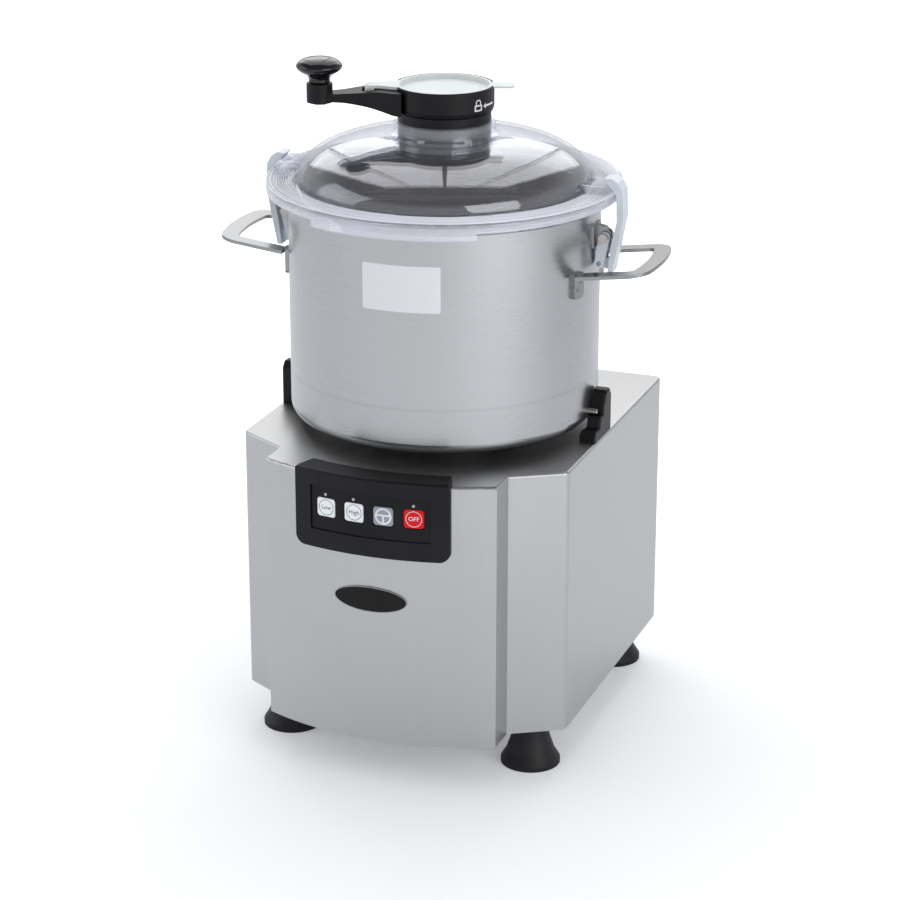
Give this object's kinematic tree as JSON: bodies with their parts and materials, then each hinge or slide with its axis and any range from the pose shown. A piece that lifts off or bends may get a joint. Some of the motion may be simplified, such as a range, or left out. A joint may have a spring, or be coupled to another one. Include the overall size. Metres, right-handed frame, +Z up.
{
  "type": "bench-top bowl cutter",
  "caption": "Bench-top food cutter: motor base with key panel, lift-off steel bowl with loop handles and latches, clear lid with hand crank and scraper, spinning blades.",
  "frame": {"origin": "on the drive axis, on the surface that the feet stand on", "axes": "+Z up along the drive axis, the control panel faces -Y, +X is the operator's right"},
  "size_m": [0.407, 0.3772, 0.6213],
  "materials": {
    "housing_steel": "brushed",
    "bowl_steel": "brushed horizontally",
    "handle_steel": "satin",
    "bolt_steel": "satin",
    "black_plastic": "fine matte",
    "knob_plastic": "gloss",
    "panel_film": "matte",
    "key_white": "matte",
    "key_grey": "matte",
    "key_red": "matte",
    "led_lens": "gloss",
    "latch_plastic": "satin",
    "lid_clear": "clear",
    "cap_soft": "translucent",
    "seal_rubber": "matte",
    "foot_rubber": "matte",
    "blade_steel": "polished",
    "shaft_steel": "ground",
    "cast_metal": "cast",
    "core_steel": "matte",
    "copper": "enamelled wire",
    "board_green": "matte",
    "white_plastic": "matte",
    "scraper_plastic": "matte",
    "wiper_soft": "matte"
  },
  "bodies": {
    "base": {"housing_shell": "housing_steel", "base_plate": "housing_steel", "base_plate_screws": "bolt_steel", "feet": "foot_rubber", "foot_studs": "bolt_steel", "control_bezel": "black_plastic", "key_panel": "panel_film", "indicator_lights": "led_lens", "control_board": "board_green", "key_switches": "white_plastic", "lock_blocks": "black_plastic", "lock_block_screws": "bolt_steel", "ball_plungers": "bolt_steel", "drive_boss": "cast_metal", "boss_screws": "bolt_steel", "shaft_bearings": "shaft_steel", "shaft_seal": "foot_rubber", "motor_frame": "cast_metal", "stator_core": "core_steel", "stator_windings": "copper", "lower_end_bell": "cast_metal", "upper_end_bell": "cast_metal", "motor_bolts": "bolt_steel", "fan_cover": "black_plastic", "run_capacitor": "white_plastic", "motor_relay": "white_plastic", "cable_gland": "black_plastic"},
    "rotor": {"drive_shaft": "shaft_steel", "rotor_core": "core_steel", "cooling_fan": "black_plastic"},
    "key_low": {"key_low": "key_white"},
    "key_high": {"key_high": "key_white"},
    "key_pulse": {"key_pulse": "key_grey"},
    "key_off": {"key_off": "key_red"},
    "bowl": {"bowl": "bowl_steel", "bowl_pan": "bowl_steel", "bowl_pins": "bolt_steel", "handles": "handle_steel", "latch_brackets": "handle_steel", "latch_bolts": "bolt_steel"},
    "link_right": {"latch_link_right": "latch_plastic", "lever_pin_right": "bolt_steel"},
    "lever_right": {"latch_lever_right": "latch_plastic"},
    "link_left": {"latch_link_left": "latch_plastic", "lever_pin_left": "bolt_steel"},
    "lever_left": {"latch_lever_left": "latch_plastic"},
    "lid": {"lid": "lid_clear", "lid_seal": "seal_rubber"},
    "crank": {"crank": "black_plastic", "cap_hinge_pin": "bolt_steel", "knob_pin": "bolt_steel", "scraper_frame": "scraper_plastic", "scraper_wipers": "wiper_soft"},
    "feed_cap": {"feed_cap": "cap_soft"},
    "knob": {"crank_knob": "knob_plastic"},
    "blades": {"blade_hub": "black_plastic", "lower_blade": "blade_steel", "upper_blade": "blade_steel", "blade_spacer": "black_plastic", "blade_nut": "black_plastic"}
  },
  "joints": [
    {"name": "rotor_spin", "type": "hinge", "parent": "base", "child": "rotor", "pos_m": [0, 0, 0.2], "axis": [0, 0, 1], "continuous": true},
    {"name": "bowl_lift", "type": "slide", "parent": "base", "child": "bowl", "axis": [0, 0, 1], "range_m": [0, 0.25]},
    {"name": "blade_spin", "type": "hinge", "parent": "bowl", "child": "blades", "pos_m": [0, 0, 0.33], "axis": [0, 0, 1], "continuous": true},
    {"name": "lid_lift", "type": "slide", "parent": "bowl", "child": "lid", "axis": [0, 0, 1], "range_m": [0, 0.1]},
    {"name": "link_right_swing", "type": "hinge", "parent": "bowl", "child": "link_right", "pos_m": [0.14935, 0.00678, 0.471], "axis": [0.0454, -0.999, 0], "range_deg": [0, 97]},
    {"name": "lever_right_tilt", "type": "hinge", "parent": "link_right", "child": "lever_right", "pos_m": [0.14535, 0.0066, 0.4472], "axis": [-0.0454, 0.999, 0], "range_deg": [0, 146]},
    {"name": "link_left_swing", "type": "hinge", "parent": "bowl", "child": "link_left", "pos_m": [-0.14935, -0.00678, 0.471], "axis": [-0.0454, 0.999, 0], "range_deg": [0, 97]},
    {"name": "lever_left_tilt", "type": "hinge", "parent": "link_left", "child": "lever_left", "pos_m": [-0.14535, -0.0066, 0.4472], "axis": [0.0454, -0.999, 0], "range_deg": [0, 146]},
    {"name": "crank_turn", "type": "hinge", "parent": "lid", "child": "crank", "pos_m": [0, 0, 0.56], "axis": [0, 0, 1], "continuous": true},
    {"name": "cap_hinge", "type": "hinge", "parent": "crank", "child": "feed_cap", "pos_m": [-0.06162, -0.02365, 0.5928], "axis": [0.3584, -0.9336, 0], "range_deg": [0, 110]},
    {"name": "knob_spin", "type": "hinge", "parent": "crank", "child": "knob", "pos_m": [-0.10269, -0.03942, 0.61], "axis": [0, 0, 1], "continuous": true},
    {"name": "key_low_press", "type": "slide", "parent": "base", "child": "key_low", "axis": [0.1592, 0.9872, 0], "range_m": [0, 0.0006], "stiffness_N_per_m": 800},
    {"name": "key_high_press", "type": "slide", "parent": "base", "child": "key_high", "axis": [0.0531, 0.9986, 0], "range_m": [0, 0.0006], "stiffness_N_per_m": 800},
    {"name": "key_pulse_press", "type": "slide", "parent": "base", "child": "key_pulse", "axis": [-0.0531, 0.9986, 0], "range_m": [0, 0.0006], "stiffness_N_per_m": 800},
    {"name": "key_off_press", "type": "slide", "parent": "base", "child": "key_off", "axis": [-0.1592, 0.9872, 0], "range_m": [0, 0.0006], "stiffness_N_per_m": 800}
  ],
  "couplings": [
    {"joint": "blade_spin", "follows": "rotor_spin", "ratio": 1},
    {"joint": "link_right_swing", "follows": "lid_lift", "rad_per_m": 16.58},
    {"joint": "lever_right_tilt", "follows": "lid_lift", "rad_per_m": 25},
    {"joint": "link_left_swing", "follows": "lid_lift", "rad_per_m": 16.58},
    {"joint": "lever_left_tilt", "follows": "lid_lift", "rad_per_m": 25}
  ]
}
